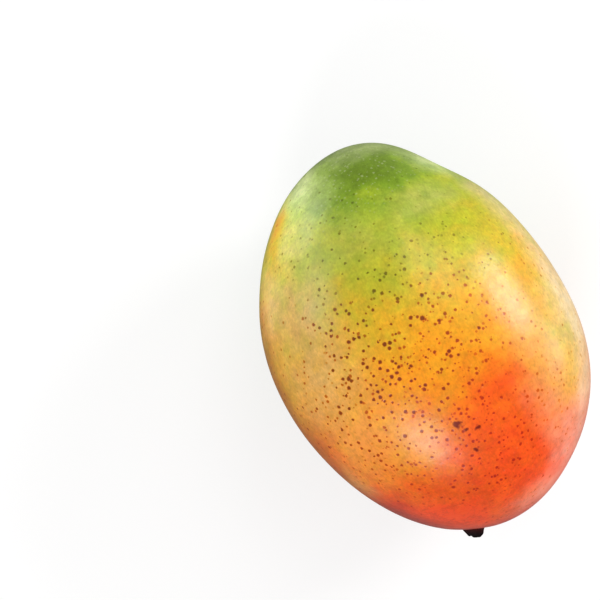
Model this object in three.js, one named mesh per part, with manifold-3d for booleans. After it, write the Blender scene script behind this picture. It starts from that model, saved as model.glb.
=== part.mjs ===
// A ripe mango with the stub of its stem, lying on one cheek.
// Millimetres, +Z up. The stem end points towards -Y and the tip towards +Y.
// The origin is on the surface it rests on, under the middle of the whole fruit.

import * as THREE from 'three';
import { mergeVertices } from 'three/addons/utils/BufferGeometryUtils.js';
import Module from 'manifold-3d';

// ---- Fruit ----
const HALF_WIDTH = 44.2;
const HALF_LENGTH = 62.7;
const HALF_THICKNESS = 41.5;
const STEM_END_FULLNESS = 0.07; // share by which the stem end is thicker, and the tip thinner
const CHEEK_FULLNESS = 0.03; // how much fuller the cross-section is between cheek and side
const REST_SPOT_DEPTH = 0.8; // how far the cheek is flattened where it bears the weight
const SKIN_DETAIL = 14; // splits of each edge of the starting icosahedron

// Swells and hollows round the edge of the fruit. `turn` is the angle from the tip, in degrees,
// positive towards +X. `spread` is the angle over which it fades. `height` is a share of the local radius.
const SWELLS = [
  { name: 'full side', turn: 111, spread: 21.5, height: 0.1 },
  { name: 'back side', turn: -80, spread: 19, height: 0.05 },
  { name: 'tip', turn: 10, spread: 12.5, height: 0.013 },
  { name: 'hollow beside the tip', turn: 39, spread: 10.5, height: -0.035 },
  { name: 'flatter shoulder beside the stem', turn: -151, spread: 28, height: -0.035 },
];

// ---- Stem stub ----
const STEM_TURN = -169; // where the stem grows, as an angle from the tip
const STEM_LEAN = -156; // where the stem points, as an angle from the tip
const STUB_RADIUS = 3.2;
const STUB_END_RADIUS = 2.1;
const STUB_PROUD = 3.4; // from the skin to the broken end
const STUB_ROOT = 2.2; // how deep its root goes below the skin
const STUB_SIDES = 24;
const DIMPLE_DEPTH = 0.9; // shallow seat that the stem grows from
const DIMPLE_SPREAD = 5; // in degrees
const CLEARANCE = 0.3; // between the root and its socket

// A level direction at an angle from the tip.
function levelDirection(turn) {
  const angle = THREE.MathUtils.degToRad(turn);
  return new THREE.Vector3(Math.sin(angle), Math.cos(angle), 0);
}

// A smooth hump of height 1 that fades over `spread` degrees, from the cosine of the angle to its middle.
function hump(cosine, spread) {
  return Math.exp((cosine - 1) / THREE.MathUtils.degToRad(spread) ** 2);
}

// The point of the skin in one direction from the middle of the fruit.
function skinPoint(direction) {
  const level = Math.hypot(direction.x, direction.y);
  const turn = THREE.MathUtils.radToDeg(Math.atan2(direction.x, direction.y));
  let radius = 1;
  for (const swell of SWELLS) {
    const cosine = Math.cos(THREE.MathUtils.degToRad(turn - swell.turn));
    radius += swell.height * level ** 2 * hump(cosine, swell.spread);
  }
  const towardsStem = direction.dot(levelDirection(STEM_TURN));
  radius -= (DIMPLE_DEPTH / HALF_LENGTH) * hump(towardsStem, DIMPLE_SPREAD);
  radius += CHEEK_FULLNESS * (2 * direction.x * direction.z) ** 2;
  const thickness = HALF_THICKNESS * (1 - STEM_END_FULLNESS * direction.y);
  const point = direction.clone().multiplyScalar(radius);
  return point.multiply(new THREE.Vector3(HALF_WIDTH, HALF_LENGTH, thickness));
}

// The ball of directions pushed out to the skin, then flattened where it rests.
function skinGeometry() {
  const ball = new THREE.IcosahedronGeometry(1, SKIN_DETAIL);
  ball.deleteAttribute('normal');
  ball.deleteAttribute('uv');
  const skin = mergeVertices(ball);
  const position = skin.getAttribute('position');
  const direction = new THREE.Vector3();
  for (let i = 0; i < position.count; i += 1) {
    direction.fromBufferAttribute(position, i).normalize();
    const point = skinPoint(direction);
    position.setXYZ(i, point.x, point.y, point.z);
  }
  skin.computeBoundingBox();
  const restLevel = skin.boundingBox.min.z + REST_SPOT_DEPTH;
  for (let i = 0; i < position.count; i += 1) {
    position.setZ(i, Math.max(position.getZ(i), restLevel));
  }
  return skin;
}

// Places a shape that is round about +Y so that it stands on the skin where the stem grows.
function placeOnStem(geometry) {
  const seat = skinPoint(levelDirection(STEM_TURN));
  const turnToStem = new THREE.Quaternion();
  turnToStem.setFromUnitVectors(new THREE.Vector3(0, 1, 0), levelDirection(STEM_LEAN));
  geometry.applyQuaternion(turnToStem);
  geometry.translate(seat.x, seat.y, seat.z);
  return geometry;
}

// The stub: a plug that goes into the fruit, with a tapering broken end outside.
function stubGeometry() {
  const profile = [
    new THREE.Vector2(0, -STUB_ROOT),
    new THREE.Vector2(STUB_RADIUS, -STUB_ROOT),
    new THREE.Vector2(STUB_RADIUS, 0.3 * STUB_PROUD),
    new THREE.Vector2(STUB_END_RADIUS, 0.8 * STUB_PROUD),
    new THREE.Vector2(0.8 * STUB_END_RADIUS, STUB_PROUD),
    new THREE.Vector2(0, 0.9 * STUB_PROUD),
  ];
  return placeOnStem(new THREE.LatheGeometry(profile, STUB_SIDES));
}

// The space that the root fills, a little wider and deeper than the root, and open outwards.
function socketGeometry() {
  const bottom = -STUB_ROOT - CLEARANCE;
  const top = 2 * STUB_PROUD;
  const radius = STUB_RADIUS + CLEARANCE;
  const socket = new THREE.CylinderGeometry(radius, radius, top - bottom, STUB_SIDES);
  socket.translate(0, (top + bottom) / 2, 0);
  return placeOnStem(socket);
}

const wasm = await Module();
wasm.setup();

// A closed geometry as a solid that can be cut.
function toSolid(geometry) {
  const bare = geometry.clone();
  bare.deleteAttribute('normal');
  bare.deleteAttribute('uv');
  const merged = mergeVertices(bare);
  return new wasm.Manifold(
    new wasm.Mesh({
      numProp: 3,
      vertProperties: new Float32Array(merged.getAttribute('position').array),
      triVerts: new Uint32Array(merged.index.array),
    }),
  );
}

// A solid as a geometry again.
function toGeometry(solid) {
  const mesh = solid.getMesh();
  const geometry = new THREE.BufferGeometry();
  geometry.setAttribute('position', new THREE.BufferAttribute(mesh.vertProperties, 3));
  geometry.setIndex(new THREE.BufferAttribute(mesh.triVerts, 1));
  geometry.computeVertexNormals();
  return geometry;
}

function makeFruit() {
  const solid = toSolid(skinGeometry()).subtract(toSolid(socketGeometry()));
  const material = new THREE.MeshStandardMaterial({ color: 0xe39a35, roughness: 0.42, metalness: 0 });
  const fruit = new THREE.Mesh(toGeometry(solid), material);
  fruit.name = 'fruit';
  return fruit;
}

function makeStemStub() {
  const material = new THREE.MeshStandardMaterial({ color: 0x2b140d, roughness: 0.9, metalness: 0 });
  const stub = new THREE.Mesh(stubGeometry(), material);
  stub.name = 'stem_stub';
  return stub;
}

const mango = new THREE.Group();
mango.add(makeFruit(), makeStemStub());

// The origin goes to the resting surface, under the middle of the whole fruit.
const box = new THREE.Box3().setFromObject(mango);
const middle = box.getCenter(new THREE.Vector3());
mango.position.set(-middle.x, -middle.y, -box.min.z);

export default mango;
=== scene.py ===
"""A ripe mango lying on one cheek, on a pale studio floor. Metres, +Z up, tip of the fruit towards +Y."""

import math

import bmesh
import bpy
from mathutils import Matrix, Vector, noise


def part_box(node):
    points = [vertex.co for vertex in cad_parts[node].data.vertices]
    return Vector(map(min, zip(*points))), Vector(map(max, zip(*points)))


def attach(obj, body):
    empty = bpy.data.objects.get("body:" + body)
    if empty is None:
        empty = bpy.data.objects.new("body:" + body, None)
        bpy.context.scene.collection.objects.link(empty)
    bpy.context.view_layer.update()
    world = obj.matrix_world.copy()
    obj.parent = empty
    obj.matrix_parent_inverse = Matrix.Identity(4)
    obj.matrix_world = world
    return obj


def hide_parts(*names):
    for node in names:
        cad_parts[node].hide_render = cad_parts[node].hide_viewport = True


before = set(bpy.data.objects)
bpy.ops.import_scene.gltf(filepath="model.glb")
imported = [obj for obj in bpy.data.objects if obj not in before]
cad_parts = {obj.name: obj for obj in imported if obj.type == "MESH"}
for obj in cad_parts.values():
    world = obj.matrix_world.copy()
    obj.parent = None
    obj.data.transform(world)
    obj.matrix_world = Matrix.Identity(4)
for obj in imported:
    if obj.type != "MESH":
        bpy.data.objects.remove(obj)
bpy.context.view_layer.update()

MM = 0.001

# ---- Shape of the fruit, as in the CAD model ----
HALF_WIDTH = 44.2 * MM
HALF_LENGTH = 62.7 * MM
HALF_THICKNESS = 41.5 * MM
STEM_END_FULLNESS = 0.07
CHEEK_FULLNESS = 0.03
REST_SPOT_DEPTH = 0.8 * MM
# Swells and hollows round the edge: turn from the tip and spread in degrees, and height as a share of the
# radius.
SWELLS = [
    ("full side", 111, 21.5, 0.1),
    ("back side", -80, 19, 0.05),
    ("tip", 10, 12.5, 0.013),
    ("hollow beside the tip", 39, 10.5, -0.035),
    ("flatter shoulder beside the stem", -151, 28, -0.035),
]
DIMPLE_DEPTH = 0.9 * MM
DIMPLE_SPREAD = 5  # degrees
FRUIT_SUBDIVISIONS = 7
UNEVENNESS = 0.22 * MM  # depth of the shallow hollows all over the skin
UNEVENNESS_SIZE = 14 * MM

# ---- Stem stub, sizes in millimetres ----
STEM_TURN = -169  # where the stem grows, as an angle from the tip, in degrees
STEM_LEAN = -156  # where it points
STUB_SIDES = 72
# Corners of its outline, height above the skin and radius, from the root up to the broken rim and down into
# its hollow.
STUB_CORNERS = [
    (-1.20, 3.10),
    (0.00, 3.80),
    (0.40, 3.70),
    (2.40, 2.55),
    (2.96, 2.06),
    (3.10, 1.74),
    (2.90, 1.05),
    (2.84, 0.30),
]
STUB_RING_SPACING = 0.45  # the largest gap between two rings of its outline
STUB_SMOOTHING = 2  # levels of subdivision
STUB_SHIFT = -0.42  # how far its foot sits to one side
STUB_BEND = 0.39  # how far its middle moves sideways for each millimetre of height
STUB_STRAIGHT = 2.4  # the height where the bend ends
STUB_RIDGE = 0.25
STUB_RIDGES_ROUND = 2.6  # how closely the ridges follow each other round it
STUB_RIDGES_ALONG = 0.2  # how fast they change along it
STUB_BREAK_START = 1.6  # the height from which it is broken
STUB_JAG = 0.5  # how far the notches of the broken end go up and down
STUB_JAGS_ROUND = 2.4
STUB_JAG_PLACE = (9, 4, 3)  # the stretch of noise that the notches come from
STUB_CROWN = 0.2  # how much further the broken end reaches above and below than at the sides
STUB_LUMP = 0.1
STUB_LUMPS = 1.7  # how closely the lumps follow each other

# ---- Colours of the skin, from the green tip (0) to the red stem end (1), linear red, green and blue ----
RIPENING = [
    (0.00, (0.16, 0.26, 0.014)),
    (0.10, (0.22, 0.35, 0.018)),
    (0.18, (0.36, 0.46, 0.02)),
    (0.26, (0.48, 0.50, 0.02)),
    (0.34, (0.63, 0.50, 0.02)),
    (0.42, (0.80, 0.44, 0.016)),
    (0.50, (0.89, 0.36, 0.008)),
    (0.58, (0.90, 0.285, 0.005)),
    (0.66, (0.90, 0.185, 0.004)),
    (0.75, (0.90, 0.115, 0.004)),
    (0.85, (0.86, 0.07, 0.005)),
    (1.00, (0.72, 0.045, 0.01)),
]
# The outlines of all patches of colour wander: size of the noise and its reach in millimetres.
PATCH_WANDER = [(24, 10), (7, 6)]
# Patches that are riper or less ripe than the skin around them: middle (x, y) on the upper side and radii
# along x and y in millimetres, and how far each moves the colour along RIPENING.
PATCHES = [
    ("golden edge by the tip", (-28, 47), (18, 22), 0.15),
    ("golden streak by the tip", (-25, 51), (9, 9), 0.2),
    ("yellower skin left of the tip", (-20, 42), (12, 13), 0.04),
    ("deep green by the tip", (11, 49), (11, 8), -0.06),
    ("yellow side", (-41, 26), (30, 46), 0.15),
    ("orange below the cheek", (-22, -28), (26, 25), -0.17),
    ("red blush", (11, -23), (16, 22), 0.08),
    ("green by the tip", (4, 52), (22, 12), -0.09),
    ("pale side of the tip", (20, 46), (14, 12), 0.05),
    ("yellow flank", (36, -20), (21, 34), -0.24),
    ("yellow right edge", (44, -6), (8, 24), -0.08),
    ("red beside the stem", (28, -48), (14, 12), 0.14),
    ("upper right edge", (31, 29), (16, 20), 0.05),
    ("lower left edge", (-26, -47), (14, 12), 0.12),
    ("yellow lower left edge", (-38, -30), (10, 15), -0.09),
    ("yellow left edge", (-41, 8), (12, 28), -0.06),
    ("orange round the stem", (3, -55), (22, 14), -0.14),
    ("red below the blush", (17, -21), (8, 7), 0.09),
    ("orange spot by the stem", (-8, -46), (9, 10), -0.1),
]
UNDERSIDE_START = 40  # the height in millimetres where the skin begins to be greener towards the floor
UNDERSIDE_SHIFT = -0.22
# Finer flecks of riper and less ripe skin: size in millimetres and how far they move the colour.
RIPENESS_FLECKS = [(10, 0.22), (4, 0.14), (1.3, 0.03)]
# Patches veiled by pale wax and painted sheen: middle and radii as above, how much of the colour is veiled,
# and the veil's colour. The veils are partly the fruit's own wax bloom and partly painted reflection: along
# the edges, round the tip and on the left cheek they stand for the bright floor and surroundings mirrored
# at grazing angles.
CREAM = (0.84, 0.64, 0.36)
IVORY = (0.84, 0.69, 0.43)
BEIGE = (0.72, 0.48, 0.16)
MINT = (0.66, 0.72, 0.34)
PEACH = (0.92, 0.46, 0.25)
APRICOT = (0.92, 0.31, 0.08)
SALMON = (0.94, 0.40, 0.27)
WAX_AND_SHEEN = [
    ("left cheek", (-33, 2), (22, 34), 0.62, BEIGE),
    ("left shoulder", (-29, 26), (14, 20), 0.22, CREAM),
    ("shoulder left of the tip", (-25, 42), (11, 12), 0.3, CREAM),
    ("left edge", (-38, 28), (12, 22), 0.42, CREAM),
    ("lower left edge", (-36, -31), (10, 14), 0.45, BEIGE),
    ("lower cheek", (-28, -23), (17, 18), 0.5, APRICOT),
    ("bloom on the green", (-7, 35), (16, 16), 0.1, CREAM),
    ("bloom right of the green", (12, 39), (11, 10), 0.15, CREAM),
    ("left of the tip", (-17, 51), (16, 13), 0.35, MINT),
    ("pale edge left of the tip", (-17, 56), (13, 10), 0.75, MINT),
    ("edge of the tip", (9, 60), (26, 8), 0.35, MINT),
    ("right of the tip", (23, 49), (14, 13), 0.62, MINT),
    ("upper right shoulder", (32, 36), (10, 11), 0.4, CREAM),
    ("shoulder right of the tip", (20, 37), (12, 10), 0.15, CREAM),
    ("upper right edge", (37, 28), (12, 26), 0.5, CREAM),
    ("right flank", (31, -16), (18, 34), 0.15, CREAM),
    ("pale band beside the blush", (25, -33), (11, 18), 0.3, PEACH),
    ("right edge", (44, -9), (13, 46), 0.8, IVORY),
    ("edge beside the blush", (38, -32), (10, 18), 0.7, CREAM),
    ("lower right edge", (31, -43), (20, 21), 0.75, SALMON),
    ("edge right of the stem", (14, -56), (20, 11), 0.55, SALMON),
]
# The wax and the painted sheen lie unevenly: size of the thin and thick spots in millimetres, the values of
# the noise that make them, and how thick the veil is there.
WAX_AND_SHEEN_SPOT_SIZE = 4
WAX_AND_SHEEN_THIN_NOISE = 0.3
WAX_AND_SHEEN_THICK_NOISE = 0.65
WAX_AND_SHEEN_THIN = 0.75
WAX_AND_SHEEN_THICK = 1.15
# Lighter and darker patches: middle and radii as above, and the change in brightness.
# The bright gold patch and the bright patches along the edges are painted light.
TONES_AND_PAINTED_LIGHT = [
    ("dull green", (-16, 22), (36, 26), -0.14),
    ("dull right flank", (31, -14), (16, 30), -0.1),
    ("dull spot on the left cheek", (-33, 15), (6, 9), -0.1),
    ("bright gold", (-25, 46), (18, 22), 0.5),
    ("bright edge left of the tip", (-15, 56), (18, 15), 0.58),
    ("bright lower cheek", (-25, -19), (17, 22), 0.11),
    ("bright right edge of the tip", (25, 47), (14, 9), 0.35),
    ("bright left edge", (-39, 30), (12, 20), 0.36),
    ("bright lower left edge", (-36, -30), (12, 16), 0.18),
    ("bright edge by the stem", (-14, -52), (22, 12), 0.26),
    ("bright lower right edge", (21, -52), (18, 13), 0.3),
]
# Painted shade: one side of the fruit, from the shoulder down, is painted darker, as if it lay in shadow.
PAINTED_SHADE_TURN = -122  # from the tip, in degrees
PAINTED_SHADE_AMOUNT = -0.4
PAINTED_SHADE_START = 0.35  # where the painted shade begins, as a share of the way out to that side
PAINTED_SHADE_FULL = 0.8
PAINTED_SHADE_TOP = 66  # the height in millimetres where it ends
PAINTED_SHADE_SHOULDER = 47  # the height below which it is full
# Mottling of the brightness: stretch of the noise along x, y and z, its size in millimetres and its
# strength.
MOTTLING = [
    ("blotches", (1, 1, 1), 6, 0.4),
    ("flecks", (1, 1, 1), 1.8, 0.5),
    ("short streaks along the fruit", (1, 0.6, 1), 0.6, 0.55),
]

# ---- Marks on the skin ----
# How many marks of a kind there are round a place, as the share of the cells of a noise that hold one, and
# how large and strong they are: a base for the whole skin, then patches, with middle and radii as above,
# and how much each adds or takes away.
SPECK_PLENTY = (0.15, [("round the tip", (1, 56), (40, 32), 1.1)])
SPECK_VIGOUR = (0.2, [("round the tip", (1, 56), (40, 30), 0.8)])
LARGE_PORE_PLENTY = (0.16, [
    ("cheek", (-4, -12), (54, 64), 0.66),
    ("bare left edge", (-37, 15), (13, 34), -0.7),
])
SMALL_PORE_PLENTY = (0.14, [("cheek", (-4, -12), (54, 64), 0.26)])
PORE_VIGOUR = (0.42, [
    ("left of the middle", (-22, -2), (58, 58), 0.63),
    ("below the blush", (6, -42), (30, 26), 0.2),
])
# Size of a cell and radius of a mark in millimetres, and how strong its colour is at most.
SPECK_SPACING = 1.2
SPECK_RADIUS = 0.44
SPECK_SHARE = 0.33
LARGE_PORE_SPACING = 1.75
LARGE_PORE_RADIUS = 0.68
SMALL_PORE_SPACING = 1.45
SMALL_PORE_RADIUS = 0.6
SMALL_PORE_SHARE = 0.62
SMALLEST_MARK = 0.6  # the smallest and largest marks, as shares of the radius
LARGEST_MARK = 1.25
FAINTEST_MARK = 0.65  # how large a mark of no vigour would be, as a share of a strong one
MARK_SOFTNESS = 0.55  # the share of its radius over which a mark fades
MARK_WANDER = (0.7, 0.5)  # how the marks' outlines wander: size of the noise and reach in millimetres
SPECK_COLOR = (0.6, 0.66, 0.36)
# What a pore leaves of the skin's red, green and blue, from its edge (0) to its middle (1).
PORE_STAIN = [
    (0.00, (1.00, 1.00, 1.00)),
    (0.25, (0.85, 0.62, 0.15)),
    (0.50, (0.66, 0.30, 0.01)),
    (0.75, (0.45, 0.17, 0.00)),
    (1.00, (0.27, 0.11, 0.00)),
]
# The same for pores in green skin, and the ripeness where that stain begins and where it is full.
GREEN_PORE_STAIN = [
    (0.00, (1.00, 1.00, 1.00)),
    (0.50, (0.50, 0.44, 0.06)),
    (1.00, (0.20, 0.14, 0.00)),
]
GREEN_STAIN_START = 0.43
GREEN_STAIN_FULL = 0.3
# The pores and blotches that stand out most on the upper side: place (x, y) and radius in millimetres.
LARGE_PORES = [
    ("largest, high on the cheek", (0.5, 7), 0.8),
    ("left of the largest", (-2.5, 8.5), 0.65),
    ("below the one to its left", (-3.5, 6.5), 0.5),
    ("right of the largest", (4.5, 4.5), 0.6),
    ("towards the tip", (3, 13), 0.65),
    ("pair right of the middle", (3.5, -4.5), 0.65),
    ("smaller one of the pair", (2.5, -5), 0.5),
    ("beside the pair", (5.5, -6.5), 0.5),
    ("right flank", (14, -2), 0.55),
    ("left of the middle", (-11.5, 3), 0.6),
    ("further left", (-15.5, 0.5), 0.65),
    ("left side", (-20, 2), 0.55),
    ("far left", (-25.5, -0.5), 0.7),
    ("middle", (-8, -4), 0.55),
    ("below the middle", (-6.5, -10.5), 0.55),
    ("lower left", (-19.5, -7), 0.55),
    ("lowest", (-21, -14.5), 0.5),
]
BLOTCHES = [
    ("large one below the middle", (-2.5, -24.5), 1.3),
    ("beside the large one", (-1, -27), 0.8),
    ("right one", (2.5, -28), 0.9),
    ("lower one", (-0.5, -33.5), 0.8),
]
SINGLE_MARK_EDGE = 1.25  # where such a mark begins, as a share of its radius, and where it is full
SINGLE_MARK_CORE = 0.45
BLOTCH_COLOR = (0.18, 0.004, 0.0)
BLOTCH_WANDER = (1.6, 2.2)
BLOTCH_SHARE = 0.95
CORK_COLOR = (0.22, 0.06, 0.02)
CORK_RADIUS = 4.6  # of the corky ring round the stub, in millimetres, and where it is full
CORK_CORE = 3.5
CORK_SHARE = 0.6

# ---- Gloss and relief of the skin, sizes and heights in millimetres ----
SKIN_ROUGHNESS = 0.25  # where it is glossiest
SKIN_ROUGHNESS_SPREAD = 0.16
SKIN_ROUGHNESS_SIZE = 2.5
PORE_ROUGHNESS = 0.08  # how much rougher a pore is
BROAD_RELIEF = 0.1
BROAD_RELIEF_SIZE = 5
FINE_RELIEF = 0.03
FINE_RELIEF_SIZE = 0.7
PORE_DEPTH = 0.03

# ---- Stem wood, sizes and heights in millimetres ----
# Colours from the foot of the stub (0) to its broken end (1).
STUB_COLORS = [
    (0.00, (0.080, 0.008, 0.005)),
    (0.25, (0.036, 0.004, 0.004)),
    (0.60, (0.012, 0.003, 0.004)),
    (0.85, (0.005, 0.002, 0.002)),
    (1.00, (0.012, 0.005, 0.004)),
]
STUB_COLORS_END = 3.2  # the height in millimetres where the last colour is reached
FIBRE_SIZE = 0.3
FIBRE_STRETCH = (1, 0.25, 1)
FIBRE_RELIEF = 0.1
GRAIN_SIZE = 0.5
GRAIN_RELIEF = 0.12
STUB_ROUGHNESS = 0.5
STUB_ROUGHNESS_SPREAD = 0.3
STUB_SPECULAR = 0.12


# ---- Shape ----
def level_direction(turn):
    """A level direction at an angle from the tip, in degrees, positive towards +X."""
    angle = math.radians(turn)
    return Vector((math.sin(angle), math.cos(angle), 0))


def hump(cosine, spread):
    """A smooth hump of height 1 that fades over spread degrees."""
    return math.exp((cosine - 1) / math.radians(spread) ** 2)


def skin_point(direction):
    """The point of the skin in one direction from the middle of the fruit."""
    level = math.hypot(direction.x, direction.y)
    turn = math.degrees(math.atan2(direction.x, direction.y))
    radius = 1.0
    for _name, swell_turn, spread, height in SWELLS:
        radius += height * level**2 * hump(math.cos(math.radians(turn - swell_turn)), spread)
    radius -= DIMPLE_DEPTH / HALF_LENGTH * hump(direction.dot(level_direction(STEM_TURN)), DIMPLE_SPREAD)
    radius += CHEEK_FULLNESS * (2 * direction.x * direction.z) ** 2
    thickness = HALF_THICKNESS * (1 - STEM_END_FULLNESS * direction.y)
    return Vector((direction.x * HALF_WIDTH, direction.y * HALF_LENGTH, direction.z * thickness)) * radius


def smooth_object(name, shape):
    """Makes an object of a finished bmesh, with smooth shading."""
    mesh = bpy.data.meshes.new(name)
    shape.to_mesh(mesh)
    shape.free()
    for polygon in mesh.polygons:
        polygon.use_smooth = True
    made = bpy.data.objects.new(name, mesh)
    bpy.context.collection.objects.link(made)
    return made


def make_fruit():
    """The fruit, and the place on its skin where the stem grows."""
    shape = bmesh.new()
    bmesh.ops.create_icosphere(shape, subdivisions=FRUIT_SUBDIVISIONS, radius=1)
    for vertex in shape.verts:
        vertex.co = skin_point(vertex.co.normalized())
    low = Vector(min(v.co[i] for v in shape.verts) for i in range(3))
    high = Vector(max(v.co[i] for v in shape.verts) for i in range(3))
    cad_low, cad_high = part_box("fruit")
    middle = (cad_low + cad_high) / 2 - (low + high) / 2
    middle.z = -(low.z + REST_SPOT_DEPTH)
    for vertex in shape.verts:
        hollow = UNEVENNESS * (0.5 + 0.5 * noise.noise(vertex.co / UNEVENNESS_SIZE))
        vertex.co -= hollow * vertex.co.normalized()
        vertex.co += middle
        vertex.co.z = max(vertex.co.z, 0)
    fruit = smooth_object("mango_fruit", shape)
    bpy.context.view_layer.update()
    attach(fruit, "root")
    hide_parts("fruit")
    return fruit, skin_point(level_direction(STEM_TURN)) + middle


def broken_place(place):
    """Where one corner of the smooth stub goes: x is sideways, y is up and z out of the fruit."""
    height = place.z
    around = Vector((place.x, place.y, 0)).normalized()
    along = Vector((0, 0, STUB_RIDGES_ALONG * height))
    ridge = STUB_RIDGE * noise.noise(STUB_RIDGES_ROUND * around + along)
    lump = STUB_LUMP * noise.noise(STUB_LUMPS * place)
    broken = STUB_JAG * noise.noise(STUB_JAGS_ROUND * around + Vector(STUB_JAG_PLACE))
    broken += STUB_CROWN * (around.y**2 - 0.5)
    broken *= min(max(height - STUB_BREAK_START, 0), 1)
    aside = STUB_SHIFT + STUB_BEND * min(max(height, 0), STUB_STRAIGHT)
    return place + (ridge + lump) * around + Vector((aside, 0, broken))


def stub_outline():
    """Height and radius of each ring above the root: the corners, with even steps between them."""
    for start, end in zip(STUB_CORNERS, STUB_CORNERS[1:]):
        steps = math.ceil(math.dist(start, end) / STUB_RING_SPACING)
        for step in range(1, steps + 1):
            height, radius = Vector(start).lerp(Vector(end), step / steps)
            yield height, radius


def make_stub(seat):
    """The dry stub that the stem leaves: ridged, bent a little and broken off unevenly."""
    shape = bmesh.new()
    root_height, root_radius = STUB_CORNERS[0]
    bmesh.ops.create_circle(shape, cap_ends=True, segments=STUB_SIDES, radius=root_radius)
    bmesh.ops.translate(shape, verts=shape.verts, vec=(0, 0, root_height))
    rim = list(shape.edges)
    for height, radius in stub_outline():
        made = bmesh.ops.extrude_edge_only(shape, edges=rim)["geom"]
        ring = {part for part in made if isinstance(part, bmesh.types.BMVert)}
        rim = [part for part in made if isinstance(part, bmesh.types.BMEdge) and set(part.verts) <= ring]
        for vertex in ring:
            vertex.co = radius * Vector((vertex.co.x, vertex.co.y, 0)).normalized() + Vector((0, 0, height))
    bmesh.ops.pointmerge(shape, verts=list(ring), merge_co=(0, 0, height))
    bmesh.ops.recalc_face_normals(shape, faces=shape.faces)

    out = level_direction(STEM_LEAN)
    up = Vector((0, 0, 1))
    turn = Matrix((up.cross(out), up, out)).transposed()
    for vertex in shape.verts:
        vertex.co = seat + turn @ broken_place(vertex.co) * MM
    stub = smooth_object("mango_stem_stub", shape)
    smoother = stub.modifiers.new("rounded", "SUBSURF")
    smoother.levels = STUB_SMOOTHING
    smoother.render_levels = STUB_SMOOTHING
    bpy.context.view_layer.update()
    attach(stub, "root")
    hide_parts("stem_stub")
    return stub


def on_upper_skin(fruit, x, y):
    """The place in millimetres on the upper skin above one spot of the floor, also in millimetres."""
    _hit, place, _normal, _face = fruit.ray_cast((x * MM, y * MM, 3 * HALF_THICKNESS), (0, 0, -1))
    return place / MM


# ---- Materials ----
# Where the colour sockets of a Mix node are among those of its other kinds of data.
MIX_COLOR_INPUTS = slice(6, 8)
MIX_COLOR_OUTPUT = 2
# How much fine detail the noises have.
FLECK_DETAIL = 3
WAX_AND_SHEEN_SPOT_DETAIL = 4
MOTTLING_DETAIL = 3
ROUGHNESS_DETAIL = 3
FINE_RELIEF_DETAIL = 3
FIBRE_DETAIL = 3
GRAIN_DETAIL = 4


class Finish:
    """A material being made, with short ways to add its nodes."""

    def __init__(self, name):
        self.material = bpy.data.materials.new(name)
        self.material.use_nodes = True
        self.tree = self.material.node_tree
        self.shader = self.tree.nodes["Principled BSDF"]

    def add(self, kind, **settings):
        node = self.tree.nodes.new(kind)
        for name, value in settings.items():
            setattr(node, name, value)
        return node

    def feed(self, socket, value):
        """Links a socket to another one, or sets it to a plain value."""
        if isinstance(value, bpy.types.NodeSocket):
            self.tree.links.new(value, socket)
        else:
            socket.default_value = value

    def place(self):
        """Object coordinates in millimetres."""
        coordinates = self.add("ShaderNodeTexCoord")
        return self.vector("SCALE", coordinates.outputs["Object"], scale=1 / MM)

    def math(self, operation, *values):
        node = self.add("ShaderNodeMath", operation=operation)
        for socket, value in zip(node.inputs, values):
            self.feed(socket, value)
        return node.outputs[0]

    def vector(self, operation, *values, scale=None):
        node = self.add("ShaderNodeVectorMath", operation=operation)
        for socket, value in zip(node.inputs, values):
            self.feed(socket, value)
        if scale is not None:
            self.feed(node.inputs["Scale"], scale)
        return node.outputs["Value" if operation in ("LENGTH", "DISTANCE", "DOT_PRODUCT") else "Vector"]

    def noise(self, place, size, detail=2, output="Factor"):
        """Cloudy noise about 0.5: features of a size in millimetres, and finer ones with more detail."""
        node = self.add("ShaderNodeTexNoise")
        self.feed(node.inputs["Vector"], place)
        self.feed(node.inputs["Scale"], 1 / size)
        self.feed(node.inputs["Detail"], detail)
        return node.outputs[0 if output == "Factor" else 1]

    def wander(self, place, size, reach):
        """The place moved to and fro by noise, so that what is drawn there loses its even outline."""
        cloud = self.noise(place, size, output="Color")
        push = self.vector("SUBTRACT", cloud, (0.5, 0.5, 0.5))
        return self.vector("ADD", place, self.vector("SCALE", push, scale=reach))

    def fade(self, value, start, end, low=0.0, high=1.0, smooth=True):
        """Goes from low at start to high at end."""
        node = self.add("ShaderNodeMapRange", interpolation_type="SMOOTHSTEP" if smooth else "LINEAR")
        for socket, entry in zip(node.inputs, (value, start, end, low, high)):
            self.feed(socket, entry)
        return node.outputs[0]

    def patch(self, place, middle, radii):
        """1 in the middle of an oval patch, fading to 0 at its radii."""
        offset = self.vector("SUBTRACT", place, tuple(middle))
        reach = (radii[0], radii[1], sum(radii) / 2)
        distance = self.vector("LENGTH", self.vector("DIVIDE", offset, reach))
        return self.fade(distance, 1, 0)

    def blend(self, share, below, above, mode="MIX"):
        """Lays one colour over another."""
        node = self.add("ShaderNodeMix", data_type="RGBA", blend_type=mode)
        self.feed(node.inputs["Factor"], share)
        for socket, value in zip(node.inputs[MIX_COLOR_INPUTS], (below, above)):
            self.feed(socket, (*value, 1) if isinstance(value, tuple) else value)
        return node.outputs[MIX_COLOR_OUTPUT]

    def raise_by(self, height):
        """Gives the surface a relief, of a height in millimetres."""
        bump = self.add("ShaderNodeBump")
        self.feed(bump.inputs["Height"], height)
        self.feed(bump.inputs["Distance"], MM)
        self.feed(self.shader.inputs["Normal"], bump.outputs[0])

    def ramp(self, value, stops):
        """A colour that goes through the stops, which are positions and colours."""
        node = self.add("ShaderNodeValToRGB")
        band = node.color_ramp
        while len(band.elements) < len(stops):
            band.elements.new(1)
        for element, (position, color) in zip(band.elements, stops):
            element.position = position
            element.color = (*color, 1)
        self.feed(node.inputs[0], value)
        return node.outputs[0]


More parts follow.
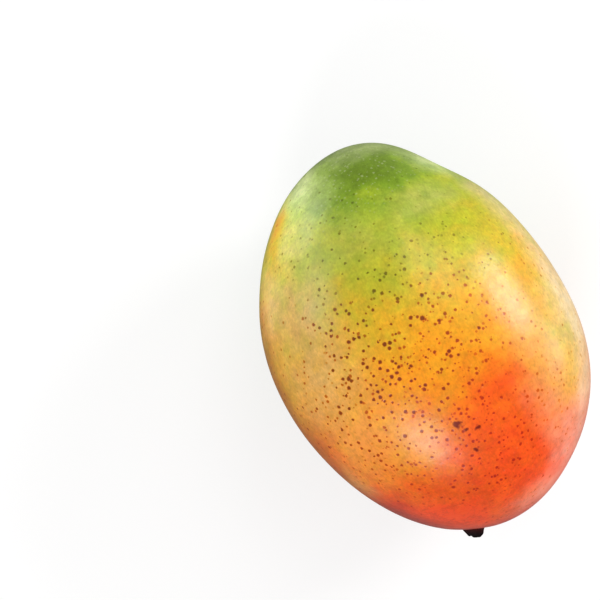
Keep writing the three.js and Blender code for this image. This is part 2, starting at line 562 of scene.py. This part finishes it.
def patchwork(finish, fruit, entry):
    """A function that gives the amount at a place: a base, and more or less of it in patches."""
    base, patches = entry
    placed = [(on_upper_skin(fruit, *middle), radii, change) for _name, middle, radii, change in patches]

    def amount(where):
        total = base
        for middle, radii, change in placed:
            total = finish.math("MULTIPLY_ADD", finish.patch(where, middle, radii), change, total)
        return total

    return amount


def scattered_marks(finish, place, spacing, radius, plenty, vigour):
    """Spots of uneven size. plenty gives how many there are round a place, vigour how large and strong."""
    cells = finish.add("ShaderNodeTexVoronoi", voronoi_dimensions="3D")
    finish.feed(cells.inputs["Vector"], place)
    finish.feed(cells.inputs["Scale"], 1 / spacing)
    chance = finish.add("ShaderNodeSeparateColor")
    finish.feed(chance.inputs[0], cells.outputs["Color"])
    strength = finish.math("MINIMUM", vigour(cells.outputs["Position"]), 1)
    size = finish.fade(chance.outputs[0], 0, 1, SMALLEST_MARK * radius, LARGEST_MARK * radius, smooth=False)
    growth = finish.math("MULTIPLY_ADD", strength, 1 - FAINTEST_MARK, FAINTEST_MARK)
    size = finish.math("MULTIPLY", size, growth)
    distance = finish.math("MULTIPLY", cells.outputs["Distance"], spacing)
    depth = finish.math("SUBTRACT", 1, finish.math("DIVIDE", distance, size))
    spot = finish.fade(depth, 0, MARK_SOFTNESS)
    present = finish.math("GREATER_THAN", plenty(cells.outputs["Position"]), chance.outputs[1])
    return finish.math("MULTIPLY", spot, finish.math("MULTIPLY", present, strength))


def single_marks(finish, fruit, place, entries):
    """Round marks at named places (x, y) on the upper side."""
    strongest = 0.0
    for _name, middle, radius in entries:
        distance = finish.vector("DISTANCE", place, tuple(on_upper_skin(fruit, *middle)))
        mark = finish.fade(distance, SINGLE_MARK_EDGE * radius, SINGLE_MARK_CORE * radius)
        strongest = finish.math("MAXIMUM", strongest, mark)
    return strongest


def ripeness_of(finish, fruit, place, drift):
    """0 for green skin at the tip to 1 for red skin at the stem end."""
    axes = finish.add("ShaderNodeSeparateXYZ")
    finish.feed(axes.inputs[0], drift)
    half_length = HALF_LENGTH / MM
    ripeness = finish.fade(axes.outputs[1], half_length, -half_length, smooth=False)
    for _name, middle, radii, amount in PATCHES:
        patch = finish.patch(drift, on_upper_skin(fruit, *middle), radii)
        ripeness = finish.math("MULTIPLY_ADD", patch, amount, ripeness)
    underside = finish.fade(axes.outputs[2], UNDERSIDE_START, 0)
    ripeness = finish.math("MULTIPLY_ADD", underside, UNDERSIDE_SHIFT, ripeness)
    for size, amount in RIPENESS_FLECKS:
        fleck = finish.math("SUBTRACT", finish.noise(place, size, FLECK_DETAIL), 0.5)
        ripeness = finish.math("MULTIPLY_ADD", fleck, amount, ripeness)
    return ripeness


def waxed_and_sheened(finish, fruit, place, drift, color):
    """The colour under its veils of pale wax and painted sheen."""
    cloud = finish.noise(place, WAX_AND_SHEEN_SPOT_SIZE, WAX_AND_SHEEN_SPOT_DETAIL)
    thickness = finish.fade(cloud, WAX_AND_SHEEN_THIN_NOISE, WAX_AND_SHEEN_THICK_NOISE, WAX_AND_SHEEN_THIN, WAX_AND_SHEEN_THICK)
    # Veils of wax, which along the edges are partly painted reflection.
    for _name, middle, radii, amount, wax_and_sheen_color in WAX_AND_SHEEN:
        veil = finish.math("MULTIPLY", finish.patch(drift, on_upper_skin(fruit, *middle), radii), amount)
        color = finish.blend(finish.math("MULTIPLY", veil, thickness), color, wax_and_sheen_color)
    return color


def brightness_of(finish, fruit, place, drift):
    """Uneven brightness: broad lighter and darker patches, with painted light along the edges, a painted
    shade on one side, then blotches, flecks and short streaks.
    """
    brightness = 1.0
    # Lighter and darker patches; the bright ones along the edges are painted light.
    for _name, middle, radii, amount in TONES_AND_PAINTED_LIGHT:
        shade = finish.patch(drift, on_upper_skin(fruit, *middle), radii)
        brightness = finish.math("MULTIPLY_ADD", shade, amount, brightness)
    # Painted shade: the skin on one side is darkened, as if in shadow, from the shoulder down.
    level = finish.vector("MULTIPLY", drift, (MM / HALF_WIDTH, MM / HALF_LENGTH, 0))
    reach = finish.vector("DOT_PRODUCT", level, tuple(level_direction(PAINTED_SHADE_TURN)))
    height = finish.add("ShaderNodeSeparateXYZ")
    finish.feed(height.inputs[0], drift)
    flank = finish.fade(height.outputs[2], PAINTED_SHADE_TOP, PAINTED_SHADE_SHOULDER)
    side = finish.math("MULTIPLY", finish.fade(reach, PAINTED_SHADE_START, PAINTED_SHADE_FULL), flank)
    brightness = finish.math("MULTIPLY_ADD", side, PAINTED_SHADE_AMOUNT, brightness)
    for _name, stretch, size, amount in MOTTLING:
        cloud = finish.noise(finish.vector("MULTIPLY", place, stretch), size, MOTTLING_DETAIL)
        unevenness = finish.math("MULTIPLY_ADD", cloud, amount, 1 - amount / 2)
        brightness = finish.math("MULTIPLY", brightness, unevenness)
    return brightness


def skin_finish(fruit, seat):
    """Waxy mango skin: green at the tip through yellow to red at the stem, with dark pores."""
    finish = Finish("mango_skin")
    place = finish.place()
    drift = place
    for size, reach in PATCH_WANDER:
        drift = finish.wander(drift, size, reach)
    ripeness = ripeness_of(finish, fruit, place, drift)
    color = waxed_and_sheened(finish, fruit, place, drift, finish.ramp(ripeness, RIPENING))
    color = finish.vector("SCALE", color, scale=brightness_of(finish, fruit, place, drift))

    # Small pale specks.
    crumbled = finish.wander(place, *MARK_WANDER)
    plenty = patchwork(finish, fruit, SPECK_PLENTY)
    vigour = patchwork(finish, fruit, SPECK_VIGOUR)
    specks = scattered_marks(finish, crumbled, SPECK_SPACING, SPECK_RADIUS, plenty, vigour)
    color = finish.blend(finish.math("MULTIPLY", specks, SPECK_SHARE), color, SPECK_COLOR)

    # Pores: scattered large and small ones, and the ones that stand out.
    vigour = patchwork(finish, fruit, PORE_VIGOUR)
    plenty = patchwork(finish, fruit, LARGE_PORE_PLENTY)
    pore = scattered_marks(finish, crumbled, LARGE_PORE_SPACING, LARGE_PORE_RADIUS, plenty, vigour)
    plenty = patchwork(finish, fruit, SMALL_PORE_PLENTY)
    small = scattered_marks(finish, crumbled, SMALL_PORE_SPACING, SMALL_PORE_RADIUS, plenty, vigour)
    pore = finish.math("MAXIMUM", pore, finish.math("MULTIPLY", small, SMALL_PORE_SHARE))
    pore = finish.math("MAXIMUM", pore, single_marks(finish, fruit, crumbled, LARGE_PORES))
    green = finish.fade(ripeness, GREEN_STAIN_START, GREEN_STAIN_FULL)
    stain = finish.blend(green, finish.ramp(pore, PORE_STAIN), finish.ramp(pore, GREEN_PORE_STAIN))
    color = finish.blend(1.0, color, stain, mode="MULTIPLY")

    # Dark blotches, and a brown ring of corky skin round the stub.
    blotch = single_marks(finish, fruit, finish.wander(crumbled, *BLOTCH_WANDER), BLOTCHES)
    color = finish.blend(finish.math("MULTIPLY", blotch, BLOTCH_SHARE), color, BLOTCH_COLOR)
    from_stem = finish.vector("DISTANCE", crumbled, tuple(seat / MM))
    ring = finish.fade(from_stem, CORK_RADIUS, CORK_CORE)
    color = finish.blend(finish.math("MULTIPLY", ring, CORK_SHARE), color, CORK_COLOR)
    finish.feed(finish.shader.inputs["Base Color"], color)

    # Gloss and relief.
    cloud = finish.noise(place, SKIN_ROUGHNESS_SIZE, ROUGHNESS_DETAIL)
    roughness = finish.math("MULTIPLY_ADD", cloud, SKIN_ROUGHNESS_SPREAD, SKIN_ROUGHNESS)
    roughness = finish.math("MULTIPLY_ADD", pore, PORE_ROUGHNESS, roughness)
    finish.feed(finish.shader.inputs["Roughness"], roughness)
    relief = finish.math("MULTIPLY", finish.noise(place, BROAD_RELIEF_SIZE), BROAD_RELIEF)
    fine = finish.noise(place, FINE_RELIEF_SIZE, FINE_RELIEF_DETAIL)
    relief = finish.math("MULTIPLY_ADD", fine, FINE_RELIEF, relief)
    finish.raise_by(finish.math("MULTIPLY_ADD", pore, -PORE_DEPTH, relief))
    return finish.material


def stub_finish(seat):
    """Dry, almost black stem wood, dark red next to the fruit, with fibres that run along it."""
    finish = Finish("stem_wood")
    place = finish.vector("SUBTRACT", finish.place(), tuple(seat / MM))
    height = finish.vector("DOT_PRODUCT", place, tuple(level_direction(STEM_LEAN)))
    fibres = finish.noise(finish.vector("MULTIPLY", place, FIBRE_STRETCH), FIBRE_SIZE, FIBRE_DETAIL)
    grain = finish.noise(place, GRAIN_SIZE, GRAIN_DETAIL)
    color = finish.ramp(finish.fade(height, 0, STUB_COLORS_END, smooth=False), STUB_COLORS)
    color = finish.vector("SCALE", color, scale=finish.math("ADD", fibres, grain))
    finish.feed(finish.shader.inputs["Base Color"], color)
    roughness = finish.math("MULTIPLY_ADD", grain, STUB_ROUGHNESS_SPREAD, STUB_ROUGHNESS)
    finish.feed(finish.shader.inputs["Roughness"], roughness)
    finish.shader.inputs["Specular IOR Level"].default_value = STUB_SPECULAR
    relief = finish.math("MULTIPLY", fibres, FIBRE_RELIEF)
    finish.raise_by(finish.math("MULTIPLY_ADD", grain, GRAIN_RELIEF, relief))
    return finish.material


# ---- Studio ----
FLOOR_COLOR = (0.42, 0.42, 0.42)
FLOOR_IN_GLOSS = (0.26, 0.26, 0.26)  # its colour where the skin mirrors it
FLOOR_ROUGHNESS = 0.7
FLOOR_SPECULAR = 0.1
FLOOR_GLOW = 0.6  # what the camera sees on top of the light that the floor gives back
FLOOR_REACH = 3.0  # metres
BACKDROP_START = 0.12  # how far out, in metres, the floor begins to fade into the backdrop
BACKDROP_END = 0.6  # where it has become the backdrop
BACKDROP_GLOW = 0.84
BACKDROP = 1.0  # brightness of the world that the camera sees beyond the floor
WORLD_LIGHT = 0.39
WORLD_GLOSS = 0.02  # how bright the world looks where the skin mirrors it


def seen_by(tree, kind, strength):
    """A strength that only one kind of ray gets, such as those from the camera."""
    path = tree.nodes.new("ShaderNodeLightPath")
    glow = tree.nodes.new("ShaderNodeMath")
    glow.operation = "MULTIPLY"
    tree.links.new(path.outputs[kind], glow.inputs[0])
    if isinstance(strength, bpy.types.NodeSocket):
        tree.links.new(strength, glow.inputs[1])
    else:
        glow.inputs[1].default_value = strength
    return glow.outputs[0]


def make_floor():
    """The pale floor. Further out it glows more, until it looks like the backdrop."""
    shape = bmesh.new()
    bmesh.ops.create_grid(shape, x_segments=1, y_segments=1, size=FLOOR_REACH)
    floor = smooth_object("floor", shape)
    finish = Finish("floor")
    color = finish.blend(seen_by(finish.tree, "Is Glossy Ray", 1), FLOOR_COLOR, FLOOR_IN_GLOSS)
    finish.feed(finish.shader.inputs["Base Color"], color)
    finish.shader.inputs["Roughness"].default_value = FLOOR_ROUGHNESS
    finish.shader.inputs["Specular IOR Level"].default_value = FLOOR_SPECULAR
    distance = finish.vector("LENGTH", finish.place())
    glow = finish.fade(distance, BACKDROP_START / MM, BACKDROP_END / MM, FLOOR_GLOW, BACKDROP_GLOW)
    finish.shader.inputs["Emission Color"].default_value = (1, 1, 1, 1)
    finish.feed(finish.shader.inputs["Emission Strength"], seen_by(finish.tree, "Is Camera Ray", glow))
    floor.data.materials.append(finish.material)


def light_world():
    """Even light from all round, with its own strengths for the camera and for what the skin mirrors."""
    world = bpy.data.worlds.new("studio")
    bpy.context.scene.world = world
    world.use_nodes = True
    tree = world.node_tree
    background = tree.nodes["Background"]
    background.inputs["Color"].default_value = (1, 1, 1, 1)
    strength = tree.nodes.new("ShaderNodeMath")
    strength.operation = "ADD"
    strength.inputs[1].default_value = WORLD_LIGHT
    both = tree.nodes.new("ShaderNodeMath")
    both.operation = "ADD"
    tree.links.new(seen_by(tree, "Is Camera Ray", BACKDROP - WORLD_LIGHT), both.inputs[0])
    tree.links.new(seen_by(tree, "Is Glossy Ray", WORLD_GLOSS - WORLD_LIGHT), both.inputs[1])
    tree.links.new(both.outputs[0], strength.inputs[0])
    tree.links.new(strength.outputs[0], background.inputs["Strength"])


CAMERA_PLACE = (-29.04, 25.77, 552.06)  # millimetres, as are the lens and the sensor
CAMERA_LENS = 100
CAMERA_SENSOR = 36  # its width
CAMERA_TURN = -24  # how far the camera is turned about its own line of sight, in degrees
# Soft boxes: turn from the camera's right and elevation in degrees, distance, width and height in metres,
# and watts.
SOFT_BOXES = [
    ("right key", 33, 27, 0.9, 0.35, 0.3, 4.6),
    ("right low", 8, 4.5, 0.7, 0.22, 0.2, 0.75),
    ("left low", 144, 5, 0.7, 0.25, 0.2, 0.75),
    ("left edge", 178, 5, 0.7, 0.25, 0.2, 0.15),
    ("left fill", 165, 25, 0.8, 0.4, 0.3, 1.1),
    ("front", -99, 43, 0.8, 0.3, 0.24, 2.6),
    ("top", 76, 50, 0.8, 0.35, 0.35, 1.0),
]


def soft_box(name, turn, elevation, distance, width, height, watts):
    """An area light aimed at the middle of the fruit."""
    light = bpy.data.lights.new(name, "AREA")
    light.shape = "RECTANGLE"
    light.size = width
    light.size_y = height
    light.energy = watts
    lamp = bpy.data.objects.new(name, light)
    bpy.context.collection.objects.link(lamp)
    around = math.radians(CAMERA_TURN + turn)
    up = math.radians(elevation)
    out = Vector((math.cos(around) * math.cos(up), math.sin(around) * math.cos(up), math.sin(up)))
    lamp.location = Vector((0, 0, HALF_THICKNESS)) + distance * out
    lamp.rotation_euler = out.to_track_quat("Z", "Y").to_euler()
    lamp.visible_camera = False


fruit, seat = make_fruit()
fruit.data.materials.append(skin_finish(fruit, seat))
stub = make_stub(seat)
stub.data.materials.append(stub_finish(seat))

make_floor()
for entry in SOFT_BOXES:
    soft_box(*entry)
light_world()

camera = bpy.data.cameras.new("camera")
camera.lens = CAMERA_LENS
camera.sensor_width = CAMERA_SENSOR
camera_object = bpy.data.objects.new("camera", camera)
bpy.context.collection.objects.link(camera_object)
camera_object.location = Vector(CAMERA_PLACE) * MM
camera_object.rotation_euler = (0, 0, math.radians(CAMERA_TURN))
bpy.context.scene.camera = camera_object
bpy.context.scene.view_settings.view_transform = "Standard"
